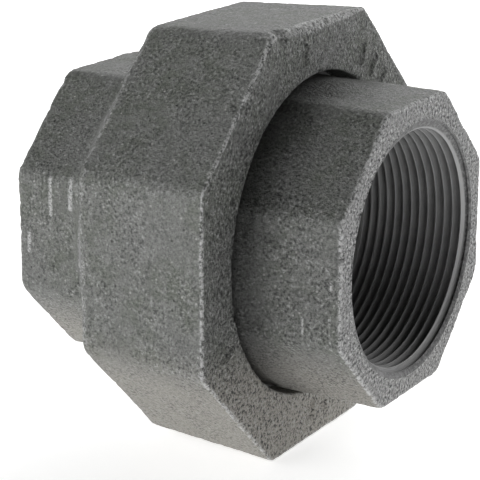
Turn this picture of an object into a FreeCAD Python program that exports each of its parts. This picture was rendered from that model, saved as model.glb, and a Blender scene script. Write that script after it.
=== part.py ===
import FreeCAD, Part
import os
from math import atan, cos, degrees, pi, radians, sin, sqrt, tan

# Ground-joint pipe union for 2 inch taper pipe thread, nut done up tight.
# +X runs along the pipe axis to the mouth of the tail piece, +Z is up, and the
# origin is on the axis at the middle of the length. All sizes are millimetres.

# Driving dimensions ----------------------------------------------------------
overall_length = 88.5
end_across_flats = 70.6          # octagon of both pipe ends
end_corner_radius = 4.5          # rounding of the ridges between the flats
end_edge_radius = 1.2            # rounding of the cast edge round each mouth

nut_length = 34.9
nut_front_x = 18.8               # face that the tail piece comes out of
nut_front_across_flats = 103.1
nut_rear_across_flats = 100.1    # smaller, because the casting has draft
nut_corner_radius = 4.5
nut_edge_radius = 1.2
lip_thickness = 8.0
lip_hole_radius = 38.8
lip_edge_radius = 1.0

# Taper pipe thread in both ends: 11.5 turns per inch, 1 in 16 on diameter.
inch = 25.4
pipe_pitch = inch / 11.5
pipe_taper = 1.0 / 32.0          # change of radius per unit of depth
pipe_root_radius = 30.05         # at the mouth
pipe_crest_radius = 28.35        # at the mouth
pipe_drill_radius = 27.78        # straight hole that the taper thread is cut in
pipe_root_flat = 0.12
pipe_thread_depth = 30.0
mouth_radius = 30.5              # outer edge of the mouth's chamfer

# Parallel thread between the nut and the thread piece: 8 turns per inch.
union_pitch = inch / 8.0
male_crest_radius = 44.5
male_root_radius = 42.55
male_root_flat = 0.30
female_crest_radius = 43.0
female_root_radius = 44.95
female_root_flat = 0.50
male_front_x = 2.8               # open end of the male thread
male_rear_x = -19.0              # where the thread ends in its relief groove
male_relief_width = 2.2
nut_relief_radius = 45.2         # clearance behind the lip, round the collar

# Tail piece inside the nut.
neck_radius = 37.5
collar_radius = 42.4
collar_rear_x = 4.0
shank_radius = 33.2
nose_x = -7.0
nose_bore_radius = 27.0
chamber_radius = 29.6            # cored waterway behind each pipe thread

# Ground seat: a ball on the tail against a 45 degree cone in the brass ring.
ball_radius = 44.0
ball_centre_x = 26.6
seat_gap = 0.1
ring_front_x = -2.0
ring_rear_x = -8.0
ring_outer_radius = 35.0
socket_bore_radius = 28.0

flank_slope = tan(radians(30.0))
mouth_slope = tan(radians(60.0))  # change of the mouth chamfer's radius per unit of depth
thread_overcut = 0.25            # how far a cutter passes the crest it cuts from
end_face_x = overall_length / 2.0
nut_rear_x = nut_front_x - nut_length
lip_shoulder_x = nut_front_x - lip_thickness
sides = 8


# Shared shapes ---------------------------------------------------------------
def octagon_corners(across_flats, x):
    """Sharp corners of an octagon in the plane at x, with flats to +-Y and +-Z."""
    half_side = pi / sides
    reach = across_flats / 2.0 / cos(half_side)
    turns = [half_side + i * 2.0 * half_side for i in range(sides)]
    return [FreeCAD.Vector(x, reach * cos(turn), reach * sin(turn)) for turn in turns]


def octagon_solid(front, rear, corner_radius, front_x, rear_x, edge_radius, rounded_faces):
    """Octagonal block from rear_x to front_x, with rounded ridges and some rounded outlines."""
    behind = octagon_corners(rear, rear_x)
    before = octagon_corners(front, front_x)
    outlines = [behind[::-1], before]
    for i in range(sides):
        after = (i + 1) % sides
        outlines.append([behind[i], behind[after], before[after], before[i]])
    faces = [Part.Face(Part.makePolygon(outline + [outline[0]])) for outline in outlines]
    block = Part.Solid(Part.Shell(faces))
    ridges = [e for e in block.Edges if not on_plane(e, front_x) and not on_plane(e, rear_x)]
    block = block.makeFillet(corner_radius, ridges)
    outline = [e for e in block.Edges if any(on_plane(e, x) for x in rounded_faces)]
    return block.makeFillet(edge_radius, outline)


def on_plane(edge, x):
    """Does the whole edge lie in the plane at x?"""
    box = edge.BoundBox
    return abs(box.XMin - x) < 1e-3 and abs(box.XMax - x) < 1e-3


def turned(points):
    """Solid turned about the X axis from (x, radius) corners; a triple is (x, radius, through)."""
    edges = []
    for i, point in enumerate(points):
        following = points[(i + 1) % len(points)]
        start = FreeCAD.Vector(point[0], 0.0, point[1])
        end = FreeCAD.Vector(following[0], 0.0, following[1])
        if len(point) == 3:
            through = FreeCAD.Vector(point[2][0], 0.0, point[2][1])
            edges.append(Part.Arc(start, through, end).toShape())
        else:
            edges.append(Part.LineSegment(start, end).toShape())
    face = Part.Face(Part.Wire(edges))
    return face.revolve(FreeCAD.Vector(0, 0, 0), FreeCAD.Vector(1, 0, 0), 360.0)


def thread_cutter(outline, pitch, length, radius, start_x, growth=0.0):
    """Right-hand thread groove: (axial, radial) outline swept up a helix about +X.

    The outline is measured from the helix, whose radius grows by growth per unit of length.
    """
    helix = Part.makeLongHelix(pitch, length, radius, degrees(atan(growth)))
    corners = [FreeCAD.Vector(radius + r, 0.0, a) for a, r in outline]
    profile = Part.makePolygon(corners + [corners[0]])
    groove = Part.Wire(helix).makePipeShell([profile], True, True)
    groove.rotate(FreeCAD.Vector(0, 0, 0), FreeCAD.Vector(0, 1, 0), 90.0)
    groove.translate(FreeCAD.Vector(start_x, 0.0, 0.0))
    return groove


def pipe_thread():
    """Cutter for the taper thread, from inside the chamber to outside the +X mouth."""
    overrun = 1.5 * pipe_pitch
    height = pipe_root_radius - pipe_crest_radius + 0.10
    half_flat = pipe_root_flat / 2.0
    half_width = half_flat + height * flank_slope
    outline = [(-half_width, -height), (half_width, -height), (half_flat, 0.0), (-half_flat, 0.0)]
    inner_x = end_face_x - pipe_thread_depth - pipe_pitch
    length = pipe_thread_depth + pipe_pitch + overrun
    inner_radius = pipe_root_radius - (end_face_x - inner_x) * pipe_taper
    return thread_cutter(outline, pipe_pitch, length, inner_radius, inner_x, pipe_taper)


def pipe_bore():
    """Drilled bore, the taper that the tap opens it to, and the mouth chamfer at +X."""
    chamfer = (mouth_radius - pipe_crest_radius) / (mouth_slope - pipe_taper)
    taper_length = (pipe_crest_radius - pipe_drill_radius) / pipe_taper
    inner_x = end_face_x - pipe_thread_depth
    return turned([
        (inner_x, 0.0),
        (inner_x, pipe_drill_radius),
        (end_face_x - taper_length, pipe_drill_radius),
        (end_face_x - chamfer, mouth_radius - chamfer * mouth_slope),
        (end_face_x, mouth_radius),
        (end_face_x + 1.0, mouth_radius + mouth_slope),
        (end_face_x + 1.0, 0.0),
    ])


def ball_x(radius):
    """Where the ball seat has this radius about the axis, on the side facing -X."""
    return ball_centre_x - sqrt(ball_radius ** 2 - radius ** 2)


def cone_radius(x):
    """Radius of the brass ring's 45 degree seat at x."""
    return (ball_radius + seat_gap) * sqrt(2.0) + x - ball_centre_x


# Tail piece ------------------------------------------------------------------
def make_tail_piece():
    """Octagonal end whose facets fade into a round neck, a collar and a ball nose."""
    facets_rear_x = nut_front_x - 3.0
    neck_end_x = nut_front_x + 2.0
    fade_end_x = neck_end_x + 12.0
    nose_radius = sqrt(ball_radius ** 2 - (ball_centre_x - nose_x) ** 2)
    shank_front_x = ball_x(shank_radius)
    arc_middle = (nose_radius + shank_radius) / 2.0
    block = octagon_solid(end_across_flats, end_across_flats, end_corner_radius,
                          end_face_x, facets_rear_x, end_edge_radius, [end_face_x])
    body = turned([
        (nose_x, 0.0),
        (nose_x, nose_radius, (ball_x(arc_middle), arc_middle)),
        (shank_front_x, shank_radius),
        (collar_rear_x, shank_radius),
        (collar_rear_x, collar_radius - 1.0),
        (collar_rear_x + 1.0, collar_radius),
        (lip_shoulder_x, collar_radius),
        (lip_shoulder_x, neck_radius),
        (neck_end_x, neck_radius),
        (fade_end_x, end_across_flats / 2.0 - 1.0),
        (fade_end_x, 0.0),
    ])
    chamber_front_x = end_face_x - pipe_thread_depth
    chamber = turned([
        (nose_x - 1.0, 0.0),
        (nose_x - 1.0, nose_bore_radius),
        (nose_x + 4.0, nose_bore_radius),
        (nose_x + 8.0, chamber_radius),
        (chamber_front_x, chamber_radius),
        (chamber_front_x + 1.5, pipe_drill_radius),
        (chamber_front_x + 1.5, 0.0),
    ])
    return block.fuse(body).removeSplitter().cut(chamber).cut(pipe_bore()).cut(pipe_thread())


# Union nut -------------------------------------------------------------------
def make_union_nut():
    """Octagonal nut with a front lip and a parallel thread open to the rear."""
    block = octagon_solid(nut_front_across_flats, nut_rear_across_flats, nut_corner_radius,
                          nut_front_x, nut_rear_x, nut_edge_radius, [nut_front_x, nut_rear_x])
    entry = female_root_radius + 0.3
    thread_front_x = collar_rear_x + 1.0
    lip_round = lip_edge_radius * (1.0 - sqrt(0.5))
    opening = turned([
        (nut_rear_x - 1.0, 0.0),
        (nut_rear_x - 1.0, entry + 1.0),
        (nut_rear_x + entry - female_crest_radius, female_crest_radius),
        (thread_front_x, female_crest_radius),
        (thread_front_x, nut_relief_radius),
        (lip_shoulder_x, nut_relief_radius),
        (lip_shoulder_x, lip_hole_radius),
        (nut_front_x - lip_edge_radius, lip_hole_radius,
         (nut_front_x - lip_round, lip_hole_radius + lip_round)),
        (nut_front_x, lip_hole_radius + lip_edge_radius),
        (nut_front_x + 1.0, lip_hole_radius + lip_edge_radius),
        (nut_front_x + 1.0, 0.0),
    ])
    height = female_root_radius - female_crest_radius + thread_overcut
    half_flat = female_root_flat / 2.0
    half_width = half_flat + height * flank_slope
    outline = [(-half_width, -height), (half_width, -height), (half_flat, 0.0), (-half_flat, 0.0)]
    start_x = male_rear_x - union_pitch / 2.0
    length = thread_front_x + union_pitch - start_x
    groove = thread_cutter(outline, union_pitch, length, female_root_radius, start_x)
    return block.cut(opening).cut(groove)


# Thread piece ----------------------------------------------------------------
def make_thread_piece():
    """Octagonal end that flares to the male thread, bored for the brass seat ring."""
    relief_rear_x = male_rear_x - male_relief_width
    flare_rear_x = relief_rear_x - 7.0
    block = octagon_solid(end_across_flats, end_across_flats, end_corner_radius,
                          relief_rear_x, -end_face_x, end_edge_radius, [-end_face_x])
    chamfer = male_crest_radius - male_root_radius + 0.2
    relief_radius = male_root_radius - 0.15
    body = turned([
        (flare_rear_x, 0.0),
        (flare_rear_x, end_across_flats / 2.0 - 1.0),
        (relief_rear_x - 1.5, relief_radius - 1.5),
        (relief_rear_x, relief_radius),
        (male_rear_x, relief_radius),
        (male_rear_x + chamfer, male_crest_radius),
        (male_front_x - chamfer, male_crest_radius),
        (male_front_x, male_crest_radius - chamfer),
        (male_front_x, 0.0),
    ])
    chamber_rear_x = pipe_thread_depth - end_face_x
    chamber = turned([
        (chamber_rear_x - 1.5, 0.0),
        (chamber_rear_x - 1.5, pipe_drill_radius),
        (chamber_rear_x, chamber_radius),
        (chamber_rear_x + 2.5, chamber_radius),
        (chamber_rear_x + 4.1, socket_bore_radius),
        (ring_rear_x, socket_bore_radius),
        (ring_rear_x, ring_outer_radius),
        (male_front_x - 0.8, ring_outer_radius),
        (male_front_x + 0.2, ring_outer_radius + 1.0),
        (male_front_x + 0.2, 0.0),
    ])
    height = male_crest_radius - male_root_radius + thread_overcut
    half_flat = male_root_flat / 2.0
    half_width = half_flat + height * flank_slope
    outline = [(-half_flat, 0.0), (half_flat, 0.0), (half_width, height), (-half_width, height)]
    start_x = male_rear_x - union_pitch
    length = male_front_x + union_pitch - start_x
    groove = thread_cutter(outline, union_pitch, length, male_root_radius, start_x)
    groove = groove.common(Part.makeCylinder(
        male_crest_radius + 1.0, length, FreeCAD.Vector(relief_rear_x, 0, 0), FreeCAD.Vector(1, 0, 0)))
    half_turn = (FreeCAD.Vector(0, 0, 0), FreeCAD.Vector(0, 0, 1), 180.0)
    bore = pipe_bore()
    bore.rotate(*half_turn)
    pipe_groove = pipe_thread()
    pipe_groove.rotate(*half_turn)
    shell = block.fuse(body).removeSplitter().cut(chamber)
    return shell.cut(bore).cut(pipe_groove).cut(groove)


# Brass seat ring -------------------------------------------------------------
def make_brass_seat_ring():
    """Ring pressed into the thread piece, with the cone that the ball nose seals on."""
    bore_radius = cone_radius(nose_x)
    return turned([
        (ring_rear_x, bore_radius),
        (ring_rear_x, ring_outer_radius),
        (ring_front_x, ring_outer_radius),
        (ring_front_x, cone_radius(ring_front_x)),
        (nose_x, bore_radius),
    ])


makers = {
    "tail_piece": make_tail_piece,
    "union_nut": make_union_nut,
    "thread_piece": make_thread_piece,
    "brass_seat_ring": make_brass_seat_ring,
}
os.makedirs("parts", exist_ok=True)
for name, make in makers.items():
    shape = make()
    if shape.ShapeType == "Compound" and len(shape.Solids) == 1:
        shape = shape.Solids[0]
    print(name, shape.ShapeType, "valid", shape.isValid(), "solids", len(shape.Solids),
          "volume", round(shape.Volume, 1))
    shape.exportStep("parts/" + name + ".step")
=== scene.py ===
from math import cos, pi, radians, sin, sqrt, tan

import bpy
import numpy as np
from mathutils import Matrix, Vector


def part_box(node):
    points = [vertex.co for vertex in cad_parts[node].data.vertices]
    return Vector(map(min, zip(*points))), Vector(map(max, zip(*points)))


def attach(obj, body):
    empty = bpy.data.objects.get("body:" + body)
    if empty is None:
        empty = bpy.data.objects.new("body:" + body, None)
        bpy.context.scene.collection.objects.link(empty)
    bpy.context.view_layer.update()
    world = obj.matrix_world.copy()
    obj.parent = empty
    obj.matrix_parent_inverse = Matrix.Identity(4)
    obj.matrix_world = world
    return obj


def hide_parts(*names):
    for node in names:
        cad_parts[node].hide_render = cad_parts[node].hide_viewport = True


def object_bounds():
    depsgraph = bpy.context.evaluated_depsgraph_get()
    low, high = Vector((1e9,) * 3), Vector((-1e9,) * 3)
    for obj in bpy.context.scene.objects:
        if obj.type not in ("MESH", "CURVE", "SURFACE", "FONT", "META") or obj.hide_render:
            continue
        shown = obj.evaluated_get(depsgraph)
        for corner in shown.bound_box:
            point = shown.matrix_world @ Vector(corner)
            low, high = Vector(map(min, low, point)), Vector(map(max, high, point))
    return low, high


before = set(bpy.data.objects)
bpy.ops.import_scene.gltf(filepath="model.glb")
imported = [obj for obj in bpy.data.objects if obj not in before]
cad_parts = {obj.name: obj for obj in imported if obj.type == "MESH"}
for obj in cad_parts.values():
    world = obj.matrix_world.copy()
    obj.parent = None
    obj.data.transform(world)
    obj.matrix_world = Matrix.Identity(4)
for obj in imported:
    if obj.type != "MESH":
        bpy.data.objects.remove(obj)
cad_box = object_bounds()

# Metres, in the CAD frame: +X along the pipe axis and out of the tail piece's mouth, +Z up.
MM = 0.001
SIDES = 8
FULL_TURN = 2.0 * pi

_, tail_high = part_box("tail_piece")
ring_low, ring_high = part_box("brass_seat_ring")

# Fineness of the meshes.
ANGLES = 600                      # columns round each piece
CAST_STEP = 0.55 * MM             # spacing of the rows along a cast surface
CUT_STEP = 2.0 * MM               # the same on a machined surface
FACE_STEP = 1.0 * MM              # the same on a narrow machined face
RING_STEP = 0.8 * MM              # the same on the brass ring
EDGE_ROWS = 8                     # rows round a cast edge that can be seen
HOLE_EDGE_ROWS = 5
FAR_EDGE_ROWS = 6
BALL_ROWS = 14
WELD = 0.004 * MM                 # points closer than this become one
CAST_SHARP = radians(42.0)        # a crease sharper than this isn't shaded smooth
BRASS_SHARP = radians(30.0)

# Unevenness of the cast skin. Each noise has the size of its features and a shift off the others.
SWELL = 0.16 * MM                 # depth of the casting's slow unevenness
SWELL_NOISE = (9.0 * MM, 5.3)
GRAIN = 0.05 * MM                 # depth of the sand grain
GRAIN_NOISE = (1.05 * MM, 2.1)
GRAIN_SHARE = 0.9
LUMP_NOISE = (2.6 * MM, 11.9)     # lumps of several grains
LUMP_SHARE = 0.6
CHIP_DEPTH = 0.55 * MM            # depth of the chips along the edges
CHIP_NOISE = (1.9 * MM, 7.7)
CHIP_START = 0.10                 # chips are where their noise is above this
LEAST_SINK = 0.04 * MM            # keeps the cast skin inside the designed surface
WORN_BULGE = 0.07 * MM            # how far an edge stands above its surroundings where it wears most
EDGE_ROUNDS = 3                   # rounds of averaging that find the edges
WORN_ROUNDS = 9                   # rounds of averaging that widen the bright rubbed edges

# Unevenness of the cast edges' widths, as waves of a size round a ring, each with its share.
NOISE_RADIUS = 40.0 * MM
NOISE_SHIFT = 31.7
END_EDGE_WAVES = ((6.0 * MM, 0.30), (1.9 * MM, 0.18))
NUT_FRONT_WAVES = ((7.0 * MM, 0.25), (2.2 * MM, 0.15))
NUT_REAR_WAVES = ((8.0 * MM, 0.25),)

# Octagons. A corner is the radius of the ridges, and an edge is the width rounded off round a face.
END_HALF_FLATS = 35.3 * MM
END_CORNER = 4.5 * MM
END_EDGE = 1.25 * MM
MOUTH_WORN = 0.5                  # share of the tail's edge that is rubbed bright
NUT_FRONT_HALF_FLATS = 51.55 * MM
NUT_REAR_HALF_FLATS = 50.05 * MM
NUT_CORNER = 4.5 * MM
NUT_CORNER_GROWTH = 2.0 * MM      # how much rounder the ridges are at the rear
NUT_FRONT_X = 18.8 * MM
NUT_REAR_X = -16.1 * MM
LIP_SHOULDER_X = 10.8 * MM
LIP_HOLE = 38.8 * MM
LIP_EDGE = 1.0 * MM
NUT_EDGE = 0.9 * MM
NUT_REAR_EDGE = 2.4 * MM
NUT_TOP_BEVEL = 2.3 * MM          # the front edge, where the top flat was knocked down
TOP_BEVEL_MIDDLE = 92.0           # degrees round from +Y
TOP_BEVEL_SPREAD = 20.0
NUT_WORN = 0.7                    # share of the nut's front edge that is rubbed bright
NUT_RELIEF = 45.2 * MM

# Taper pipe thread in both ends.
FLANK_SLOPE = tan(radians(30.0))
PIPE_PITCH = 25.4 / 11.5 * MM
PIPE_TAPER = 1.0 / 32.0
PIPE_ROOT = 30.05 * MM
PIPE_CREST = 28.35 * MM
PIPE_DRILL = 27.78 * MM
PIPE_ROOT_FLAT = 0.12 * MM
PIPE_DEPTH = 30.0 * MM
LEAD_IN = 0.75                    # turns that each helix starts ahead of its thread
HALF_GROOVE_LIMIT = 0.47          # share of the pitch that half a groove may take
CREST_START = 0.9                 # share of a groove's half-width where the paler crest starts to show
MOUTH_RADIUS = 30.5 * MM
MOUTH_SLOPE = tan(radians(60.0))  # change of the mouth chamfer's radius with depth
CHAMBER = 29.6 * MM
RUN_OUT = 1.5 * MM                # length of the slope from the tapping hole to the chamber

# Parallel thread between the nut and the thread piece.
UNION_PITCH = 25.4 / 8.0 * MM
MALE_CREST, MALE_ROOT, MALE_FLAT = 44.5 * MM, 42.55 * MM, 0.30 * MM
FEMALE_CREST, FEMALE_ROOT, FEMALE_FLAT = 43.0 * MM, 44.95 * MM, 0.50 * MM
MALE_FRONT_X = 2.8 * MM
MALE_REAR_X = -19.0 * MM
MALE_RELIEF = 2.2 * MM            # width of the groove behind the male thread
RELIEF_RADIUS = MALE_ROOT - 0.15 * MM
FEMALE_ENTRY = FEMALE_ROOT + 0.3 * MM

# Ball seat.
BALL_RADIUS = 44.0 * MM
BALL_CENTRE_X = 26.6 * MM
BALL_SEAT_RADIUS = (BALL_RADIUS + 0.1 * MM) * sqrt(2.0)
SHANK = 33.2 * MM
NOSE_X = -7.0 * MM
NOSE_BORE = 27.0 * MM
NECK = 37.5 * MM
COLLAR = 42.4 * MM
COLLAR_REAR_X = 4.0 * MM
COLLAR_CHAMFER = 1.0 * MM
NUT_THREAD_FRONT_X = COLLAR_REAR_X + 1.0 * MM
UNDER_FLATS = 1.0 * MM            # how far below the flats the neck and the flare end, out of sight
NECK_END_X = NUT_FRONT_X + 2.0 * MM
NECK_RUN = 12.0 * MM              # length in which the round neck sinks below the octagon's flats
NECK_FILLET = 4.0 * MM
RIDGE_FILLET = 0.6 * MM
FLARE_START = 7.0 * MM            # distance from the relief groove back to the flare's start
FLARE_RUN = 5.5 * MM
FLARE_SHORT = 1.5 * MM            # how far below the relief groove the flare is at the end of its run
FLARE_FILLET = 0.9 * MM
RING_OUTER = 35.0 * MM
RING_BEVEL = 0.25 * MM
SOCKET_BORE = 28.0 * MM
SOCKET_CHAMFER = 0.8 * MM
NOSE_BORE_LENGTH = 4.0 * MM
NOSE_CONE = 4.0 * MM              # length from the nose bore to the chamber's full width
CORE_LENGTH = 2.5 * MM            # straight part of the thread piece's chamber
CORE_CONE = 1.6 * MM

ANGLE = np.linspace(0.0, FULL_TURN, ANGLES + 1)
MOUTH_X = tail_high.x             # the thread piece's mouth is at the mirror place
SOCKET_CORE_X = -MOUTH_X + PIPE_DEPTH


# Numbers that the shapes use --------------------------------------------------
def lattice_noise(points, seed):
    """Smooth gradient noise at (n, 3) points, about -1 to 1, with features about one unit across."""
    rng = np.random.default_rng(seed)
    table = rng.permutation(256)
    gradients = rng.normal(size=(256, 3))
    gradients /= np.linalg.norm(gradients, axis=1)[:, None]
    cell = np.floor(points).astype(np.int64)
    part = points - cell
    ease = part ** 3 * (part * (part * 6.0 - 15.0) + 10.0)
    total = np.zeros(len(points))
    for dx in (0, 1):
        for dy in (0, 1):
            for dz in (0, 1):
                corner = (cell + (dx, dy, dz)) & 255
                key = table[(table[(table[corner[:, 0]] + corner[:, 1]) & 255] + corner[:, 2]) & 255]
                weight = (
                    (ease[:, 0] if dx else 1.0 - ease[:, 0])
                    * (ease[:, 1] if dy else 1.0 - ease[:, 1])
                    * (ease[:, 2] if dz else 1.0 - ease[:, 2])
                )
                total += weight * np.einsum("ij,ij->i", gradients[key], part - (dx, dy, dz))
    return total * 1.6


def uneven(width, waves, seed):
    """A width that varies round a ring, one value per column, by each wave's size and share."""
    points = NOISE_RADIUS * np.stack([0.0 * ANGLE, np.cos(ANGLE), np.sin(ANGLE)], 1)
    factor = 1.0
    for i, (size, share) in enumerate(waves):
        factor = factor + share * lattice_noise(points / size + NOISE_SHIFT, seed + i)
    return width * factor


def octagon_radius(half_flats, corner):
    """Distance from the axis to a rounded octagon, at every column's angle."""
    half_side = pi / SIDES
    fold = np.abs((ANGLE + half_side) % (2.0 * half_side) - half_side)
    centre = (half_flats - corner) / cos(half_side)
    tangent = np.arctan2((half_flats - corner) * tan(half_side), half_flats)
    off_corner = half_side - fold
    on_flat = half_flats / np.cos(fold)
    inside = np.maximum(corner ** 2 - (centre * np.sin(off_corner)) ** 2, 0.0)
    on_corner = centre * np.cos(off_corner) + np.sqrt(inside)
    return np.where(fold > tangent, on_corner, on_flat)


def smooth_max(a, b, width):
    """The larger of two radii, with a fillet about width across where they cross."""
    return 0.5 * (a + b + np.sqrt((a - b) ** 2 + width ** 2))


# Profiles: a profile is a list of rows, and a row is (x, radius, kind) --------
# x and radius are arrays with one value per column. A closed list of rows is one ring-shaped solid.
WORN, CAST, MACHINED, CREST = -1, 0, 1, 2


def row(x, radius, kind):
    """One row of a profile."""
    return x + 0.0 * ANGLE, radius + 0.0 * ANGLE, kind


def span(start, end, step, kind):
    """Rows from start to end, both (x, radius), without the end."""
    run = max(np.max(np.hypot(end[0] - start[0], end[1] - start[1])), 1e-9)
    count = max(1, int(np.ceil(run / step)))
    shares = np.arange(count) / count
    dx, dr = end[0] - start[0], end[1] - start[1]
    return [row(start[0] + dx * t, start[1] + dr * t, kind) for t in shares]


def lathe(corners, step, kind):
    """Rows along a line of (x, radius) corners, without the last."""
    rows = []
    for start, end in zip(corners, corners[1:]):
        rows += span(start, end, step, kind)
    return rows


def rounded(start, corner, end, count, worn=0.0):
    """Rows of cast skin round a corner from start to end, tangent to both sides, without the end.

    worn is the share of them, in the middle, that is rubbed bright.
    """
    rows = []
    for t in np.arange(count) / count:
        a, b, c = (1 - t) ** 2, 2 * t * (1 - t), t ** 2
        kind = WORN if abs(t - 0.5) < worn / 2.0 else CAST
        rows.append(row(a * start[0] + b * corner[0] + c * end[0],
                        a * start[1] + b * corner[1] + c * end[1], kind))
    return rows


def thread_rows(low_x, high_x, pitch, flat, root, wall, inward, phase):
    """Rows of a right-hand helical thread from low_x to high_x.

    root(x) and wall(x) give the groove's bottom and the plain surface. The rows follow the helix, so
    each crest and root is a clean line. inward is 1 for a thread in a hole and -1 for one on a shaft.
    phase is where the middle of a groove is, in x, at angle 0.
    """
    reach = np.maximum if inward > 0 else np.minimum
    turns = np.arange(np.floor((low_x - phase) / pitch) - 2, np.ceil((high_x - phase) / pitch) + 2)
    rows = []
    for turn in turns:
        centre = phase + pitch * (turn + ANGLE / FULL_TURN)
        depth = np.maximum(inward * (root(centre) - wall(centre)), 0.0)
        edge = np.minimum(flat / 2.0 + depth * FLANK_SLOPE, pitch * HALF_GROOVE_LIMIT)
        middle = (edge + flat / 2.0) / 2.0
        offsets = [
            (-edge, CREST), (-CREST_START * edge, MACHINED), (-middle, MACHINED), (-flat / 2.0, MACHINED),
            (flat / 2.0, MACHINED), (middle, MACHINED), (CREST_START * edge, MACHINED), (edge, CREST),
            (pitch / 2.0 + 0.0 * edge, CREST),
        ]
        for offset, kind in offsets:
            x = np.clip(centre + offset, low_x, high_x)
            away = np.abs((x - phase - pitch * ANGLE / FULL_TURN + pitch / 2.0) % pitch - pitch / 2.0)
            groove = root(x) - inward * np.maximum(away - flat / 2.0, 0.0) / FLANK_SLOPE
            rows.append((x, reach(wall(x), groove), kind))
    return rows


def pipe_thread_rows(side):
    """A mouth's bore with its taper thread, x falling. side is 1 for the mouth at +X and -1 at -X."""
    def wall(x):
        depth = MOUTH_X - side * x
        bore = np.maximum(PIPE_CREST - depth * PIPE_TAPER, PIPE_DRILL)
        into_chamber = (CHAMBER - PIPE_DRILL) * (depth - PIPE_DEPTH + RUN_OUT) / RUN_OUT
        return np.maximum(np.maximum(bore, MOUTH_RADIUS - depth * MOUTH_SLOPE), PIPE_DRILL + into_chamber)

    def root(x):
        return PIPE_ROOT - (MOUTH_X - side * x) * PIPE_TAPER

    ends = sorted((side * MOUTH_X, side * (MOUTH_X - PIPE_DEPTH)))
    groove_x = MOUTH_X - PIPE_DEPTH - LEAD_IN * PIPE_PITCH
    phase = groove_x if side > 0 else -groove_x - PIPE_PITCH / 2.0
    return thread_rows(*ends, PIPE_PITCH, PIPE_ROOT_FLAT, root, wall, 1, phase)[::-1]


# Meshes ----------------------------------------------------------------------
def ring_mesh(name, rows):
    """Welded mesh of a closed profile carried round the axis."""
    x = np.array([r[0] for r in rows])
    radius = np.array([r[1] for r in rows])
    kinds = np.array([r[2] for r in rows])
    count = len(rows)
    points = np.stack([x, radius * np.cos(ANGLE), radius * np.sin(ANGLE)], 2).reshape(-1, 3)
    keys = np.round(points / WELD).astype(np.int64)
    _, first, where = np.unique(keys, axis=0, return_index=True, return_inverse=True)
    here = where.reshape(count, ANGLES + 1)
    ahead = np.roll(here, -1, axis=0)
    quads = np.stack([here[:, :-1], here[:, 1:], ahead[:, 1:], ahead[:, :-1]], 2).reshape(-1, 4)
    quad_kind = np.repeat(np.clip(kinds, CAST, MACHINED), ANGLES)
    faces, face_kind = [], []
    for quad, kind in zip(quads.tolist(), quad_kind.tolist()):
        corners = [v for i, v in enumerate(quad) if v != quad[i - 1]]
        if len(set(corners)) >= 3:
            faces.append(corners)
            face_kind.append(kind)
    mesh = bpy.data.meshes.new(name)
    mesh.from_pydata(points[first].tolist(), [], faces)
    mesh.polygons.foreach_set("material_index", face_kind)
    mesh.polygons.foreach_set("use_smooth", [True] * len(faces))
    mesh.validate()
    mesh.update()
    point_kind = np.repeat(kinds, ANGLES + 1)[first]
    return mesh, point_kind


def read_points(mesh):
    """Vertex positions as an (n, 3) array."""
    values = np.zeros(len(mesh.vertices) * 3, np.float32)
    mesh.vertices.foreach_get("co", values)
    return values.reshape(-1, 3).astype(float)


def read_normals(mesh):
    """Vertex normals as an (n, 3) array."""
    values = np.zeros(len(mesh.vertices) * 3, np.float32)
    mesh.vertex_normals.foreach_get("vector", values)
    return values.reshape(-1, 3).astype(float)


def add_attribute(mesh, name, values):
    """Stores one number per vertex for the materials to read."""
    attribute = mesh.attributes.new(name, "FLOAT", "POINT")
    attribute.data.foreach_set("value", values.astype(np.float32))


def neighbour_mean(mesh, values, rounds):
    """Values averaged along the edges, a few rounds over."""
    pairs = np.zeros(len(mesh.edges) * 2, np.int64)
    mesh.edges.foreach_get("vertices", pairs)
    a, b = pairs.reshape(-1, 2).T
    count = np.bincount(a, minlength=len(values)) + np.bincount(b, minlength=len(values))
    for _ in range(rounds):
        total = values.copy()
        for axis in range(values.shape[1]):
            total[:, axis] += np.bincount(a, values[b, axis], len(values))
            total[:, axis] += np.bincount(b, values[a, axis], len(values))
        values = total / (count + 1.0)[:, None]
    return values


def near_segment(points, start, end):
    """Distance of each point from the segment between two places."""
    start = np.array(start) * MM
    along = np.array(end) * MM - start
    share = np.clip((points - start) @ along / max(along @ along, 1e-12), 0.0, 1.0)
    return np.linalg.norm(points - start - share[:, None] * along, axis=1)


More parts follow.
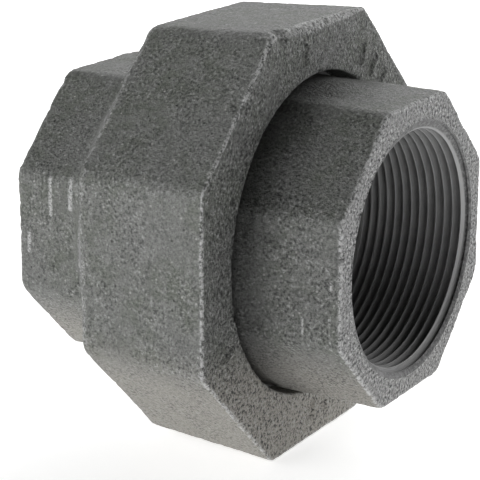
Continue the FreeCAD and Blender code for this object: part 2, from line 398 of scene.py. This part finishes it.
def cast_surface(mesh, point_kind, seed, dents=(), marks=(), scuffs=()):
    """Gives the cast skin its sand texture, worn edges, dents and raised foundry marks.

    Everything sinks below the designed surface, apart from the marks. The attributes tell the materials
    where the skin bulges (edge), where an edge is rubbed bright (worn), where the thread crests are
    (crest) and where the skin is scratched (scuff).
    """
    points = read_points(mesh)
    normals = read_normals(mesh)
    smooth = neighbour_mean(mesh, points, EDGE_ROUNDS)
    edge = np.einsum("ij,ij->i", points - smooth, normals) / WORN_BULGE
    edge = np.clip(edge, 0.0, 1.0)
    cast = (point_kind <= CAST).astype(float)
    slow, lumps, fine, chips = [
        lattice_noise(points / size + shift, seed + i)
        for i, (size, shift) in enumerate((SWELL_NOISE, LUMP_NOISE, GRAIN_NOISE, CHIP_NOISE))
    ]
    sink = SWELL * (0.5 + 0.5 * slow) + GRAIN * (1.0 + LUMP_SHARE * lumps + GRAIN_SHARE * fine)
    sink += edge * CHIP_DEPTH * np.clip(chips - CHIP_START, 0.0, 1.0)
    sink = np.maximum(sink, LEAST_SINK)
    for place, reach, depth in dents:
        away = np.linalg.norm(points - np.array(place) * MM, axis=1) / (reach * MM)
        sink += depth * MM * np.clip(1.0 - away ** 2, 0.0, 1.0) ** 2
    for start, end, half_width, height in marks:
        away = near_segment(points, start, end) / (half_width * MM)
        sink -= height * MM * np.clip(1.6 - 1.3 * away, 0.0, 1.0)    # flat on top, with sloping sides
    rubbed = np.zeros(len(points))
    for start, end, half_width in scuffs:
        away = near_segment(points, start, end) / (half_width * MM)
        rubbed = np.maximum(rubbed, np.clip(1.5 - away, 0.0, 1.0))   # soft at its edges
    moved = points - normals * (sink * cast)[:, None]
    mesh.vertices.foreach_set("co", moved.astype(np.float32).ravel())
    mesh.update()
    add_attribute(mesh, "edge", edge * cast)
    worn = (point_kind == WORN).astype(float)[:, None]
    add_attribute(mesh, "worn", neighbour_mean(mesh, worn, WORN_ROUNDS)[:, 0])
    add_attribute(mesh, "crest", (point_kind == CREST).astype(float))
    add_attribute(mesh, "scuff", rubbed)
    mesh.set_sharp_from_angle(angle=CAST_SHARP)


def add_piece(name, mesh, materials, body, nodes):
    """Makes the object, gives it its materials and hangs it on its body."""
    for material in materials:
        mesh.materials.append(material)
    piece = bpy.data.objects.new(name, mesh)
    bpy.context.scene.collection.objects.link(piece)
    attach(piece, body)
    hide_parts(*nodes)
    return piece


# Pieces ----------------------------------------------------------------------
def nut_half_flats(share):
    """Half the nut's width across flats, at a share of the way forward: the casting has draft."""
    return NUT_REAR_HALF_FLATS + (NUT_FRONT_HALF_FLATS - NUT_REAR_HALF_FLATS) * share


def nut_skin(share, inset=0.0):
    """The nut's octagon at a share of the way forward, less an inset."""
    corner = NUT_CORNER + NUT_CORNER_GROWTH * (1.0 - share)
    return octagon_radius(nut_half_flats(share) - inset, corner)


def nut_outside():
    """The nut's drafted octagon, with an uneven rounded edge in front and a larger one behind."""
    bevel = np.exp(-((np.degrees(ANGLE) - TOP_BEVEL_MIDDLE) / TOP_BEVEL_SPREAD) ** 4)
    front = uneven(NUT_EDGE + (NUT_TOP_BEVEL - NUT_EDGE) * bevel, NUT_FRONT_WAVES, 3)
    rear = uneven(NUT_REAR_EDGE, NUT_REAR_WAVES, 5)
    front_x = NUT_FRONT_X - front
    rear_x = NUT_REAR_X + rear
    front_face = (NUT_FRONT_X + 0.0 * ANGLE, nut_skin(1.0, front))
    rear_face = (NUT_REAR_X + 0.0 * ANGLE, nut_skin(0.0, rear))
    rows = rounded(rear_face, (NUT_REAR_X, nut_skin(0.0)), (rear_x, nut_skin(0.0)), EDGE_ROWS)
    count = int(np.ceil((NUT_FRONT_X - NUT_REAR_X) / CAST_STEP))
    for share in np.arange(count) / count:
        x = rear_x + (front_x - rear_x) * share
        middle = (np.mean(x) - NUT_REAR_X) / (NUT_FRONT_X - NUT_REAR_X)
        corner = NUT_CORNER + NUT_CORNER_GROWTH * (1.0 - middle)
        rows.append((x, octagon_radius(nut_half_flats(share), corner), CAST))
    rows += rounded((front_x, nut_skin(1.0)), (NUT_FRONT_X, nut_skin(1.0)), front_face, EDGE_ROWS, NUT_WORN)
    return rows, front_face, rear_face


def nut_thread_rows():
    """The nut's thread with the chamfer that lets it start, x falling."""
    def wall(x):
        return np.maximum(FEMALE_CREST, FEMALE_ENTRY - (x - NUT_REAR_X))

    def root(x):
        return FEMALE_ROOT + 0.0 * x

    # Half a pitch from the male thread's grooves, so that each thread fills the other's grooves.
    phase = MALE_REAR_X - (LEAD_IN - 0.5) * UNION_PITCH
    return thread_rows(NUT_REAR_X, NUT_THREAD_FRONT_X, UNION_PITCH, FEMALE_FLAT, root, wall, 1, phase)[::-1]


def make_union_nut():
    """The nut's closed profile: outside, front face, hole, relief, thread and rear face."""
    rows, front_edge, rear_edge = nut_outside()
    hole_rim = (NUT_FRONT_X, LIP_HOLE + LIP_EDGE)
    hole_front = (NUT_FRONT_X - LIP_EDGE, LIP_HOLE)
    rows += span(front_edge, hole_rim, CAST_STEP, CAST)
    rows += rounded(hole_rim, (NUT_FRONT_X, LIP_HOLE), hole_front, HOLE_EDGE_ROWS)
    rows += span(hole_front, (LIP_SHOULDER_X, LIP_HOLE), CAST_STEP, CAST)
    rows += lathe([
        (LIP_SHOULDER_X, LIP_HOLE),
        (LIP_SHOULDER_X, NUT_RELIEF),
        (NUT_THREAD_FRONT_X, NUT_RELIEF),
        (NUT_THREAD_FRONT_X, FEMALE_CREST),
    ], CUT_STEP, MACHINED)
    rows += nut_thread_rows()
    rows += span((NUT_REAR_X, FEMALE_ENTRY), rear_edge, FACE_STEP, MACHINED)
    return rows


def tail_outside():
    """Octagon, the round neck that its ridges fade into, and the cone between them."""
    slope = (NECK - END_HALF_FLATS + UNDER_FLATS) / NECK_RUN
    edge = uneven(END_EDGE, END_EDGE_WAVES, 13)
    rim_x = MOUTH_X - edge
    flats = octagon_radius(END_HALF_FLATS, END_CORNER)
    face = (MOUTH_X + 0.0 * ANGLE, octagon_radius(END_HALF_FLATS - edge, END_CORNER))
    rows = []
    count = int(np.ceil((MOUTH_X - LIP_SHOULDER_X) / CAST_STEP))
    for share in np.arange(count) / count:
        x = LIP_SHOULDER_X + (rim_x - LIP_SHOULDER_X) * share
        neck = NECK - slope * smooth_max(x - NECK_END_X, 0.0, NECK_FILLET)
        rows.append((x, smooth_max(flats, neck, RIDGE_FILLET), CAST))
    rows += rounded((rim_x, flats), (MOUTH_X, flats), face, EDGE_ROWS, MOUTH_WORN)
    return rows, face


def make_tail_piece():
    """The tail's closed profile: nose, shank, collar, neck, octagon, mouth, thread and chamber."""
    nose_radius = sqrt(BALL_RADIUS ** 2 - (BALL_CENTRE_X - NOSE_X) ** 2)
    rows = lathe([(NOSE_X, NOSE_BORE), (NOSE_X, nose_radius)], FACE_STEP, MACHINED)
    for radius in np.linspace(nose_radius, SHANK, BALL_ROWS)[:-1]:
        rows.append(row(BALL_CENTRE_X - sqrt(BALL_RADIUS ** 2 - radius ** 2), radius, MACHINED))
    rows += lathe([
        (BALL_CENTRE_X - sqrt(BALL_RADIUS ** 2 - SHANK ** 2), SHANK),
        (COLLAR_REAR_X, SHANK),
        (COLLAR_REAR_X, COLLAR - COLLAR_CHAMFER),
        (COLLAR_REAR_X + COLLAR_CHAMFER, COLLAR),
        (LIP_SHOULDER_X, COLLAR),
        (LIP_SHOULDER_X, NECK),
    ], CUT_STEP, MACHINED)
    outside, face = tail_outside()
    rows += outside
    rows += span(face, (MOUTH_X, MOUTH_RADIUS), CAST_STEP, CAST)
    rows += pipe_thread_rows(1)
    cone_x = NOSE_X + NOSE_BORE_LENGTH
    chamber_x = cone_x + NOSE_CONE
    rows += span((MOUTH_X - PIPE_DEPTH, CHAMBER), (chamber_x, CHAMBER), CAST_STEP, CAST)
    rows += lathe([(chamber_x, CHAMBER), (cone_x, NOSE_BORE), (NOSE_X, NOSE_BORE)], CUT_STEP, MACHINED)
    return rows


def thread_piece_outside():
    """Octagon at the far mouth, the flare up to the relief groove, and the male thread."""
    edge = uneven(END_EDGE, END_EDGE_WAVES, 23)
    rim_x = edge - MOUTH_X
    flats = octagon_radius(END_HALF_FLATS, END_CORNER)
    face = (-MOUTH_X + 0.0 * ANGLE, octagon_radius(END_HALF_FLATS - edge, END_CORNER))
    relief_rear_x = MALE_REAR_X - MALE_RELIEF
    flare_low = END_HALF_FLATS - UNDER_FLATS
    slope = (RELIEF_RADIUS - FLARE_SHORT - flare_low) / FLARE_RUN
    rows = rounded(face, (-MOUTH_X, flats), (rim_x, flats), FAR_EDGE_ROWS)
    count = int(np.ceil((relief_rear_x + MOUTH_X) / CAST_STEP))
    for share in np.arange(count + 1) / count:
        x = rim_x + (relief_rear_x - rim_x) * share
        flare = np.minimum(flare_low + slope * (x - relief_rear_x + FLARE_START), RELIEF_RADIUS)
        rows.append((x, np.minimum(smooth_max(flats, flare, FLARE_FILLET), RELIEF_RADIUS), CAST))
    rows += lathe([(relief_rear_x, RELIEF_RADIUS), (MALE_REAR_X, RELIEF_RADIUS)], FACE_STEP, MACHINED)

    def wall(x):
        ends = np.minimum(x - MALE_REAR_X, MALE_FRONT_X - x)
        return np.minimum(MALE_CREST, RELIEF_RADIUS + np.maximum(ends, 0.0))

    def root(x):
        return MALE_ROOT + 0.0 * x

    phase = MALE_REAR_X - LEAD_IN * UNION_PITCH
    rows += thread_rows(MALE_REAR_X, MALE_FRONT_X, UNION_PITCH, MALE_FLAT, root, wall, -1, phase)
    return rows, face


def make_thread_piece():
    """The thread piece's closed profile: octagon, flare, thread, socket, chamber, thread and mouth."""
    rows, face = thread_piece_outside()
    core_front_x = SOCKET_CORE_X + CORE_LENGTH
    rows += lathe([
        (MALE_FRONT_X, RELIEF_RADIUS),
        (MALE_FRONT_X, RING_OUTER + SOCKET_CHAMFER),
        (MALE_FRONT_X - SOCKET_CHAMFER, RING_OUTER),
        (ring_low.x, RING_OUTER),
        (ring_low.x, SOCKET_BORE),
        (core_front_x + CORE_CONE, SOCKET_BORE),
        (core_front_x, CHAMBER),
    ], CUT_STEP, MACHINED)
    rows += span((core_front_x, CHAMBER), (SOCKET_CORE_X, CHAMBER), CAST_STEP, CAST)
    rows += pipe_thread_rows(-1)
    rows += span((-MOUTH_X, MOUTH_RADIUS), face, CAST_STEP, CAST)
    return rows


def make_seat_ring():
    """The brass ring's closed profile, with its edges broken."""
    seat_rear = BALL_SEAT_RADIUS + NOSE_X - BALL_CENTRE_X
    seat_front = BALL_SEAT_RADIUS + ring_high.x - BALL_CENTRE_X
    return lathe([
        (ring_low.x, seat_rear + RING_BEVEL),
        (ring_low.x, RING_OUTER - RING_BEVEL),
        (ring_low.x + RING_BEVEL, RING_OUTER),
        (ring_high.x - RING_BEVEL, RING_OUTER),
        (ring_high.x, RING_OUTER - RING_BEVEL),
        (ring_high.x, seat_front + RING_BEVEL),
        (ring_high.x - RING_BEVEL, seat_front - RING_BEVEL),
        (NOSE_X, seat_rear),
        (ring_low.x + RING_BEVEL, seat_rear),
        (ring_low.x, seat_rear + RING_BEVEL),
    ], RING_STEP, MACHINED)


# Materials -------------------------------------------------------------------
class Nodes:
    """Short names for building one material's node tree."""

    def __init__(self, name):
        self.material = bpy.data.materials.new(name)
        self.material.use_nodes = True
        self.tree = self.material.node_tree
        self.shader = self.tree.nodes["Principled BSDF"]
        self.place = self.add("ShaderNodeTexCoord").outputs["Object"]

    def add(self, kind, **settings):
        """A new node with its settings."""
        node = self.tree.nodes.new(kind)
        for key, value in settings.items():
            setattr(node, key, value)
        return node

    def feed(self, socket, value):
        """Links an output to a socket, or sets the socket to a plain value."""
        if isinstance(value, bpy.types.NodeSocket):
            self.tree.links.new(value, socket)
        else:
            socket.default_value = value

    def math(self, operation, a, b=0.0, c=0.0):
        """The result of a sum on outputs or plain numbers."""
        node = self.add("ShaderNodeMath", operation=operation)
        for socket, value in zip(node.inputs, (a, b, c)):
            self.feed(socket, value)
        return node.outputs[0]

    def both(self, a, b):
        """Product of two masks."""
        return self.math("MULTIPLY", a, b)

    def ramp(self, mask, rise, base):
        """base where the mask is 0, and more by rise where it is 1."""
        return self.math("MULTIPLY_ADD", mask, rise, base)

    def noise(self, size, detail=2.0, roughness=0.5, stretch=(1.0, 1.0, 1.0)):
        """Noise from 0 to 1 whose features are about size metres across."""
        mapping = self.add("ShaderNodeMapping")
        self.feed(mapping.inputs["Vector"], self.place)
        mapping.inputs["Scale"].default_value = stretch
        node = self.add("ShaderNodeTexNoise")
        self.feed(node.inputs["Vector"], mapping.outputs[0])
        node.inputs["Scale"].default_value = 1.0 / size
        node.inputs["Detail"].default_value = detail
        node.inputs["Roughness"].default_value = roughness
        return node.outputs["Fac"]

    def cells(self, size):
        """Distance to the nearest of scattered points about size metres apart."""
        node = self.add("ShaderNodeTexVoronoi", feature="F1")
        self.feed(node.inputs["Vector"], self.place)
        node.inputs["Scale"].default_value = 1.0 / size
        return node.outputs["Distance"]

    def step(self, value, low, high):
        """0 below low, 1 above high, and smooth between."""
        node = self.add("ShaderNodeMapRange", interpolation_type="SMOOTHSTEP")
        self.feed(node.inputs["Value"], value)
        node.inputs["From Min"].default_value = low
        node.inputs["From Max"].default_value = high
        return node.outputs["Result"]

    def mix(self, share, a, b):
        """Colour a turning into colour b as share goes from 0 to 1."""
        node = self.add("ShaderNodeMix", data_type="RGBA")
        self.feed(node.inputs["Factor"], share)
        self.feed(node.inputs[6], a)
        self.feed(node.inputs[7], b)
        return node.outputs[2]

    def coat(self, tone, mask, share, colour):
        """Covers a share of the tone with a colour where the mask is 1."""
        return self.mix(self.both(mask, share), tone, colour)

    def along(self, axis):
        """Place along one of the object's axes."""
        node = self.add("ShaderNodeSeparateXYZ")
        self.feed(node.inputs[0], self.place)
        return node.outputs[axis]

    def across(self, axis):
        """Distance from the object's middle plane along one axis."""
        return self.math("ABSOLUTE", self.along(axis))

    def radius(self):
        """Distance from the pipe axis."""
        node = self.add("ShaderNodeVectorMath", operation="LENGTH")
        flat = self.add("ShaderNodeVectorMath", operation="MULTIPLY")
        self.feed(flat.inputs[0], self.place)
        flat.inputs[1].default_value = (0.0, 1.0, 1.0)
        self.feed(node.inputs[0], flat.outputs[0])
        return node.outputs["Value"]

    def attribute(self, name):
        """A number stored at each vertex."""
        return self.add("ShaderNodeAttribute", attribute_name=name).outputs["Fac"]

    def bump(self, height, distance, strength=1.0):
        """Normal that shows a height as relief."""
        node = self.add("ShaderNodeBump")
        node.inputs["Strength"].default_value = strength
        node.inputs["Distance"].default_value = distance
        self.feed(node.inputs["Height"], height)
        return node.outputs["Normal"]


def grey(level, warmth=0.0):
    """A near-grey linear colour; warmth above 0 is browner, below 0 greener."""
    return (level * (1.0 + 0.5 * warmth), level, level * (1.0 - abs(warmth)), 1.0)


# Tones of the cast iron.
DARK_PATCH = grey(0.175, -0.14)
PALE_PATCH = grey(0.200, -0.04)
BLOTCH = grey(0.240, -0.05)
# brown dust below, which is also painted floor light that makes the lower faces paler
DUST_AND_FLOOR_LIGHT = grey(0.37, 0.10)
MOUTH_FACE = grey(0.40)
DARK_GRAIN = grey(0.035)
PALE_GRAIN = grey(0.46, -0.02)
MOUTH_GRAIN = grey(0.85)
SAND_HOLLOW = grey(0.050)
PIT = grey(0.030)
SPECK = grey(0.50, 0.03)
# painted shade: the dark tone on the neck by the nut's hole
PAINTED_NECK_SHADE = grey(0.025)
RIDGE = grey(0.52)
RUBBED_EDGE = grey(0.70)
SCRATCH = grey(0.66)

# Tones of the machined iron.
DARK_CUT = grey(0.210)
PALE_CUT = grey(0.270)
TOOL_MARK = grey(0.34)
CREST_TOP = grey(0.42)
CHAMFER_DARK = grey(0.05)
CHAMFER_PALE = grey(0.20)

# Tones of the brass and the floor.
CLEAN_BRASS = (0.78, 0.56, 0.25, 1.0)
TARNISHED_BRASS = (0.50, 0.33, 0.15, 1.0)
BRIGHT_BRASS = (0.88, 0.70, 0.38, 1.0)
FLOOR_LOW = grey(0.88)
FLOOR_HIGH = grey(0.92)
FLOOR_GLOW = 0.62

TOOL_STRETCH = (1.0, 0.03, 0.03)  # draws noise out round the axis, as a cutting tool leaves it


def front_roughness(n):
    """Mask that is 1 on the nut's rough front face, 0.30 on the tail piece beyond it and 0 behind; it also
    makes the dust and painted floor light below strongest on the nut's front face.
    """
    ahead = n.step(n.along("X"), NUT_FRONT_X - 1.5 * MM, NUT_FRONT_X - 0.3 * MM)
    on_nut = n.step(n.radius(), LIP_HOLE - 0.3 * MM, LIP_HOLE)
    return n.both(ahead, n.ramp(on_nut, 0.70, 0.30))


def neck_shade_mask(n):
    """Mask of painted shade on the neck, strongest by the nut's hole where the nut's front face shades it,
    with a slight even darkening over the rest of the near end.
    """
    on_neck = n.both(n.step(n.along("X"), NUT_FRONT_X - 4.0 * MM, NUT_FRONT_X - 3.0 * MM),
                     n.step(n.radius(), LIP_HOLE, LIP_HOLE - 0.6 * MM))
    near_hole = n.both(on_neck, n.step(n.along("X"), NUT_FRONT_X + 12.0 * MM, NUT_FRONT_X))
    return n.both(on_neck, n.ramp(near_hole, 0.50, 0.08))


def skin_tone(n, blotches, rough, mouths):
    """The cast skin's mottled tone, browner with dust and paler with painted floor light below, and paler
    on the mouths' faces.
    """
    patches = n.noise(16.0 * MM, 3.0, 0.6)
    below = n.step(n.along("Z"), -13.0 * MM, -31.0 * MM)
    tone = n.mix(n.step(patches, 0.35, 0.65), DARK_PATCH, PALE_PATCH)
    tone = n.mix(n.step(blotches, 0.35, 0.75), tone, BLOTCH)
    # brown dust and painted floor light on the lower parts, most on the nut's front face
    tone = n.coat(tone, below, n.ramp(rough, 0.20, 0.75), DUST_AND_FLOOR_LIGHT)
    return n.coat(tone, mouths, 0.85, MOUTH_FACE)


def grain_tone(n, tone, grains, sand, rough, mouths):
    """Dark and pale sand grains, stronger on the rough faces and weaker in calm patches."""
    calm = n.step(n.noise(9.0 * MM, 2.0), 0.62, 0.40)
    strength = n.ramp(n.math("MAXIMUM", rough, mouths), 0.45, n.ramp(calm, 0.35, 0.40))
    tone = n.coat(tone, n.step(grains, 0.50, 0.35), strength, DARK_GRAIN)
    tone = n.coat(tone, n.step(grains, 0.54, 0.69), strength, n.mix(mouths, PALE_GRAIN, MOUTH_GRAIN))
    return n.coat(tone, n.step(sand, 0.50, 0.34), 0.50, SAND_HOLLOW)


def worn_tone(n, tone):
    """Pale broken wear along the ridges and the front edges, and scratches."""
    along_ridge = n.step(n.noise(0.9 * MM, 3.0, 0.7), 0.48, 0.60)
    tone = n.coat(tone, n.both(n.step(n.attribute("edge"), 0.35, 0.9), along_ridge), 0.60, RIDGE)
    along_edge = n.step(n.noise(1.0 * MM, 4.0, 0.85), 0.45, 0.56)
    tone = n.coat(tone, n.both(n.step(n.attribute("worn"), 0.10, 0.50), along_edge), 0.85, RUBBED_EDGE)
    along_scratch = n.step(n.noise(0.55 * MM, 3.0, 0.7), 0.38, 0.56)
    return n.coat(tone, n.both(n.step(n.attribute("scuff"), 0.05, 0.9), along_scratch), 0.80, SCRATCH)


def cast_iron():
    """Sand-cast black iron: mottled grain, dark pits, a browner underside and pale worn edges."""
    n = Nodes("cast_iron")
    blotches = n.noise(2.6 * MM, 2.0)
    grains = n.noise(0.70 * MM, 3.0, 0.60)
    sand = n.noise(0.36 * MM, 2.0, 0.6)
    pits = n.both(n.step(n.cells(1.7 * MM), 0.24, 0.08), n.step(n.noise(6.0 * MM), 0.46, 0.60))
    specks = n.both(n.step(n.cells(2.4 * MM), 0.17, 0.05), n.step(n.noise(7.0 * MM), 0.42, 0.56))
    rough = front_roughness(n)
    mouths = n.step(n.across("X"), MOUTH_X - 0.7 * MM, MOUTH_X - 0.2 * MM)

    tone = skin_tone(n, blotches, rough, mouths)
    tone = grain_tone(n, tone, grains, sand, rough, mouths)
    tone = n.coat(tone, pits, 0.75, PIT)
    tone = n.coat(tone, specks, 0.70, SPECK)
    # painted shade on the neck by the nut's hole, fading over 12 mm, and a slight darkening of the rest of
    # the near end
    tone = n.mix(neck_shade_mask(n), tone, PAINTED_NECK_SHADE)
    n.feed(n.shader.inputs["Base Color"], worn_tone(n, tone))
    n.feed(n.shader.inputs["Roughness"], n.ramp(grains, 0.35, 0.45))
    n.shader.inputs["Metallic"].default_value = 0.0
    n.shader.inputs["Specular IOR Level"].default_value = 0.40

    height = n.ramp(pits, -0.16 * MM, n.math("MULTIPLY", sand, 0.12 * MM))
    height = n.ramp(blotches, 0.30 * MM, height)
    height = n.ramp(n.both(grains, n.ramp(rough, 0.9, 1.0)), 0.44 * MM, height)
    n.feed(n.shader.inputs["Normal"], n.bump(height, 1.0))
    return n.material


def machined_iron():
    """Cut iron, dark with oil, with fine tool marks, paler crests and a grainy chamfer at each mouth."""
    n = Nodes("machined_iron")
    marks = n.noise(0.16 * MM, 2.0, stretch=TOOL_STRETCH)
    stains = n.noise(4.0 * MM, 3.0, 0.6)
    grains = n.noise(0.85 * MM, 3.0, 0.65)
    chamfer = n.step(n.across("X"), MOUTH_X - 1.3 * MM, MOUTH_X - 1.0 * MM)
    tone = n.mix(n.step(stains, 0.30, 0.75), DARK_CUT, PALE_CUT)
    tone = n.coat(tone, n.step(marks, 0.40, 0.70), 0.35, TOOL_MARK)
    tone = n.coat(tone, n.step(n.attribute("crest"), 0.1, 1.0), 0.80, CREST_TOP)
    tone = n.coat(tone, chamfer, 0.85, n.mix(n.step(grains, 0.40, 0.65), CHAMFER_DARK, CHAMFER_PALE))
    n.feed(n.shader.inputs["Base Color"], tone)
    n.shader.inputs["Metallic"].default_value = 0.25
    n.feed(n.shader.inputs["Roughness"], n.ramp(stains, 0.22, 0.40))
    n.feed(n.shader.inputs["Normal"], n.bump(marks, 0.03 * MM, 0.6))
    return n.material


def turned_brass():
    """Turned brass with tool rings and a little tarnish."""
    n = Nodes("turned_brass")
    rings = n.noise(0.22 * MM, 2.0, stretch=TOOL_STRETCH)
    tarnish = n.noise(3.5 * MM, 4.0, 0.6)
    tone = n.mix(n.step(tarnish, 0.40, 0.75), CLEAN_BRASS, TARNISHED_BRASS)
    tone = n.coat(tone, n.step(rings, 0.35, 0.70), 0.35, BRIGHT_BRASS)
    n.feed(n.shader.inputs["Base Color"], tone)
    n.shader.inputs["Metallic"].default_value = 1.0
    n.feed(n.shader.inputs["Roughness"], n.ramp(tarnish, 0.30, 0.16))
    n.feed(n.shader.inputs["Normal"], n.bump(rings, 0.04 * MM, 0.6))
    return n.material


def pale_floor():
    """Matte white acrylic that glows softly."""
    n = Nodes("pale_floor")
    n.feed(n.shader.inputs["Base Color"], n.mix(n.noise(220.0 * MM, 2.0), FLOOR_LOW, FLOOR_HIGH))
    n.shader.inputs["Roughness"].default_value = 0.9
    n.shader.inputs["Emission Color"].default_value = (1.0, 1.0, 1.0, 1.0)
    n.shader.inputs["Emission Strength"].default_value = FLOOR_GLOW
    return n.material


# Build -----------------------------------------------------------------------
IRON = cast_iron()
CUT_IRON = machined_iron()
BRASS = turned_brass()

# Where the nut was knocked: place, reach and depth in millimetres.
NUT_DENTS = [
    ((18.0, -17.6, 50.4), 3.4, 1.5),
    ((18.6, -12.5, 51.0), 2.2, 0.6),
    ((18.2, -35.0, 37.8), 2.6, 0.7),
    ((15.8, -51.5, 22.2), 1.3, 0.6),
    ((14.2, -51.5, 23.6), 0.9, 0.5),
]

# Where the nut and the ends were scratched: start, end and half-width in millimetres.
NUT_SCUFFS = [
    ((18.3, -20.5, 50.6), (18.5, -17.6, 50.0), 0.35),
    ((18.5, -17.6, 50.0), (18.5, -15.2, 49.6), 0.25),
]
TAIL_SCUFFS = [
    ((34.5, -35.3, -8.3), (34.6, -35.3, -12.0), 0.10),
    ((41.6, -35.3, 1.5), (41.6, -35.3, -2.0), 0.10),
    ((41.4, -35.3, -7.5), (41.6, -35.3, -13.0), 0.12),
    ((22.3, -36.9, -10.8), (22.6, -36.8, -13.5), 0.10),
]
THREAD_SCUFFS = [
    ((-34.3, -35.3, 14.2), (-34.5, -35.3, 5.0), 0.45),
    ((-28.4, -35.3, 14.6), (-28.6, -35.3, 7.4), 0.55),
    ((-41.0, -35.3, -0.5), (-41.2, -35.3, -5.0), 0.40),
]

# Plain bars and dots on the nut's front face: degrees round from +Y, and inner and outer radius in
# millimetres.
FOUNDRY_MARKS = [
    (46.0, 43.0, 47.0),
    (54.0, 43.0, 47.0),
    (62.0, 43.0, 47.0),
    (98.0, 43.0, 46.5),
    (168.0, 44.6, 44.6),
    (205.0, 43.5, 47.0),
    (268.0, 43.2, 46.8),
    (276.0, 43.2, 46.8),
]
MARK_HALF_WIDTH = 0.9             # millimetres, like the height
MARK_HEIGHT = 0.6


def foundry_marks():
    """The marks as raised segments, like a pattern shop's index marks."""
    marks = []
    for degrees, inner, outer in FOUNDRY_MARKS:
        turn = radians(degrees)
        start, end = [(NUT_FRONT_X / MM, r * cos(turn), r * sin(turn)) for r in (inner, outer)]
        marks.append((start, end, MARK_HALF_WIDTH, MARK_HEIGHT))
    return marks


def build(name, rows, body, seed, **wear):
    """One iron piece, from its closed profile to its place on its body."""
    mesh, kinds = ring_mesh(name + "_skin", rows)
    cast_surface(mesh, kinds, seed, **wear)
    return add_piece(name + "_skin", mesh, (IRON, CUT_IRON), body, (name,))


build("union_nut", make_union_nut(), "nut", 41, dents=NUT_DENTS, marks=foundry_marks(), scuffs=NUT_SCUFFS)
build("tail_piece", make_tail_piece(), "tail", 51, scuffs=TAIL_SCUFFS)
build("thread_piece", make_thread_piece(), "thread_end", 61, scuffs=THREAD_SCUFFS)

ring, _ = ring_mesh("brass_seat_ring_skin", make_seat_ring())
ring.polygons.foreach_set("material_index", [0] * len(ring.polygons))
ring.set_sharp_from_angle(angle=BRASS_SHARP)
add_piece("brass_seat_ring_skin", ring, (BRASS,), "thread_end", ("brass_seat_ring",))


# Camera, light and floor -----------------------------------------------------
CAMERA_PLACE = Vector((239.38, -393.57, 134.93)) * MM
CAMERA_AZIMUTH = radians(31.673)
CAMERA_ELEVATION = radians(16.87)
CAMERA_ROLL = radians(0.095)
CAMERA_LENS = 147.9               # millimetres, like the sensor's width
SENSOR_WIDTH = 36.0
CLIP_START = 0.01
FLOOR_HALF = 3.0
FLOOR_GAP = 0.5 * MM              # below the nut, so that the two never touch
SOFTBOX_SIZE = 0.9
SOFTBOX_DISTANCE = 1.15
WORLD_STRENGTH = 0.02

# Azimuth and elevation in degrees, and watts.
SOFTBOXES = {
    "front": (-30.0, 20.0, 7.2),
    "left": (-140.0, 25.0, 4.8),
    "behind": (180.0, 25.0, 8.6),
    "right": (130.0, 20.0, 3.2),
}


def camera_at(place, azimuth, elevation, roll, lens):
    """Camera that looks along an azimuth and elevation. Azimuth 0 looks along +Y."""
    back = Vector((sin(azimuth) * cos(elevation), -cos(azimuth) * cos(elevation), sin(elevation)))
    level = Vector((cos(azimuth), sin(azimuth), 0.0))
    upright = back.cross(level)
    right = level * cos(roll) + upright * sin(roll)
    up = back.cross(right)
    data = bpy.data.cameras.new("camera")
    data.lens = lens
    data.sensor_width = SENSOR_WIDTH
    data.clip_start = CLIP_START
    camera = bpy.data.objects.new("camera", data)
    turn = Matrix((right, up, back)).transposed()
    camera.matrix_world = Matrix.Translation(place) @ turn.to_4x4()
    bpy.context.scene.collection.objects.link(camera)
    bpy.context.scene.camera = camera


def softbox(name, azimuth, elevation, power):
    """Square area light aimed at the object. Azimuth 0 is on the -Y side and 90 on the +X side."""
    turn, rise = radians(azimuth), radians(elevation)
    place = Vector((sin(turn) * cos(rise), -cos(turn) * cos(rise), sin(rise))) * SOFTBOX_DISTANCE
    data = bpy.data.lights.new(name, "AREA")
    data.size = SOFTBOX_SIZE
    data.energy = power
    light = bpy.data.objects.new(name, data)
    light.location = place
    light.rotation_euler = place.to_track_quat("Z", "Y").to_euler()
    bpy.context.scene.collection.objects.link(light)


def floor_under(low):
    """Wide pale floor at the height low, just under the nut."""
    mesh = bpy.data.meshes.new("floor")
    corners = [(x * FLOOR_HALF, y * FLOOR_HALF, low) for x, y in ((-1, -1), (1, -1), (1, 1), (-1, 1))]
    mesh.from_pydata(corners, [], [(0, 1, 2, 3)])
    mesh.materials.append(pale_floor())
    floor = bpy.data.objects.new("floor", mesh)
    bpy.context.scene.collection.objects.link(floor)


camera_at(CAMERA_PLACE, CAMERA_AZIMUTH, CAMERA_ELEVATION, CAMERA_ROLL, CAMERA_LENS)
floor_under(cad_box[0][2] - FLOOR_GAP)

world = bpy.data.worlds.new("studio")
world.use_nodes = True
world.node_tree.nodes["Background"].inputs["Color"].default_value = (1.0, 1.0, 1.0, 1.0)
world.node_tree.nodes["Background"].inputs["Strength"].default_value = WORLD_STRENGTH
bpy.context.scene.world = world

for name, (azimuth, elevation, power) in SOFTBOXES.items():
    softbox(name, azimuth, elevation, power)

bpy.context.scene.view_settings.view_transform = "Standard"
